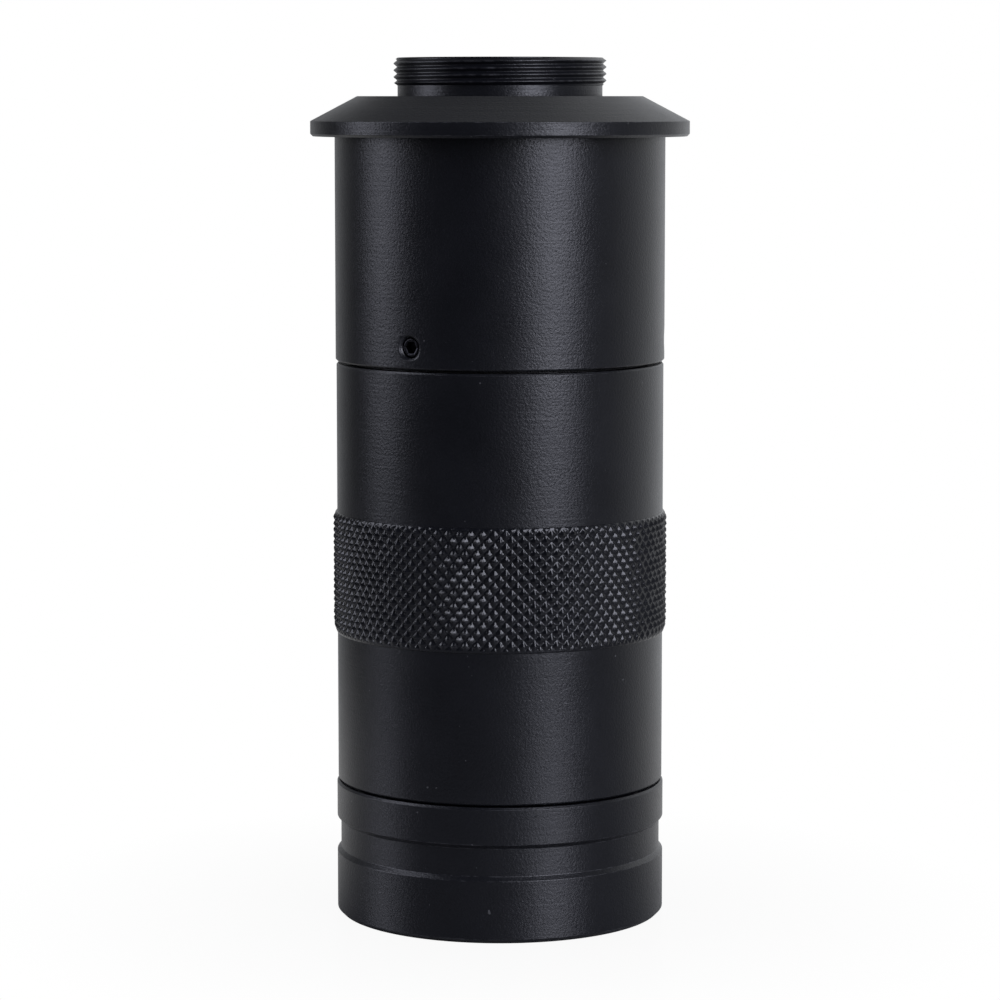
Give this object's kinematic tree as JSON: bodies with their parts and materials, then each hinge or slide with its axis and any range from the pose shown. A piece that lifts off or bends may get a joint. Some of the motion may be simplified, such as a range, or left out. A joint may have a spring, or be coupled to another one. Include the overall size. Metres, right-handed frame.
{
  "type": "c-mount zoom lens",
  "caption": "Cylindrical zoom lens for a camera microscope, with a threaded camera flange, a knurled zoom sleeve that turns and a grooved lower ring.",
  "frame": {"origin": "centre of the lower, open end, on the optical axis", "axes": "+Z along the optical axis towards the camera, -Y towards the viewer of the picture"},
  "size_m": [0.0452, 0.0452, 0.1031],
  "materials": {
    "black_anodised": "satin black anodised",
    "black_inner": "matt black anodised",
    "black_steel": "black oxide",
    "spring_steel": "rolled strip",
    "white_plastic": "smooth",
    "brass": "turned",
    "crown_glass": "polished, coated",
    "flint_glass": "polished"
  },
  "bodies": {
    "barrel_body": {"cmount_flange": "black_anodised", "upper_barrel": "black_anodised", "barrel_grub_screws": "black_steel", "guide_tube": "black_inner", "bottom_ring": "black_anodised", "front_cell": "black_inner", "front_crown_lens": "crown_glass", "front_flint_lens": "flint_glass", "front_retainer": "black_inner", "rear_cell": "black_inner", "rear_crown_lens": "crown_glass", "rear_flint_lens": "flint_glass", "rear_retainer": "black_inner", "aperture_stop": "black_inner", "upper_thrust_washer": "white_plastic", "lower_thrust_washer": "white_plastic", "wave_washer": "spring_steel"},
    "zoom_ring": {"zoom_sleeve": "black_anodised", "cam_tube": "black_inner", "cam_lock_ring": "black_inner"},
    "variator": {"variator_cell": "black_inner", "variator_concave_lens": "flint_glass", "variator_meniscus_lens": "crown_glass", "variator_retainer": "black_inner", "variator_pins": "brass"},
    "compensator": {"compensator_cell": "black_inner", "compensator_flint_lens": "flint_glass", "compensator_crown_lens": "crown_glass", "compensator_retainer": "black_inner", "compensator_pins": "brass"}
  },
  "joints": [
    {"name": "zoom_turn", "type": "hinge", "parent": "barrel_body", "child": "zoom_ring", "pos_m": [0, 0, 0.0416], "axis": [0, 0, 1], "range_deg": [0, 140]},
    {"name": "variator_slide", "type": "slide", "parent": "barrel_body", "child": "variator", "axis": [0, 0, 1], "range_m": [0, 0.016]},
    {"name": "compensator_slide", "type": "slide", "parent": "barrel_body", "child": "compensator", "axis": [0, 0, 1], "range_m": [-0.008, 0]}
  ],
  "couplings": [
    {"joint": "variator_slide", "follows": "zoom_turn", "m_per_rad": 0.006548},
    {"joint": "compensator_slide", "follows": "zoom_turn", "m_per_rad": -0.003274}
  ]
}
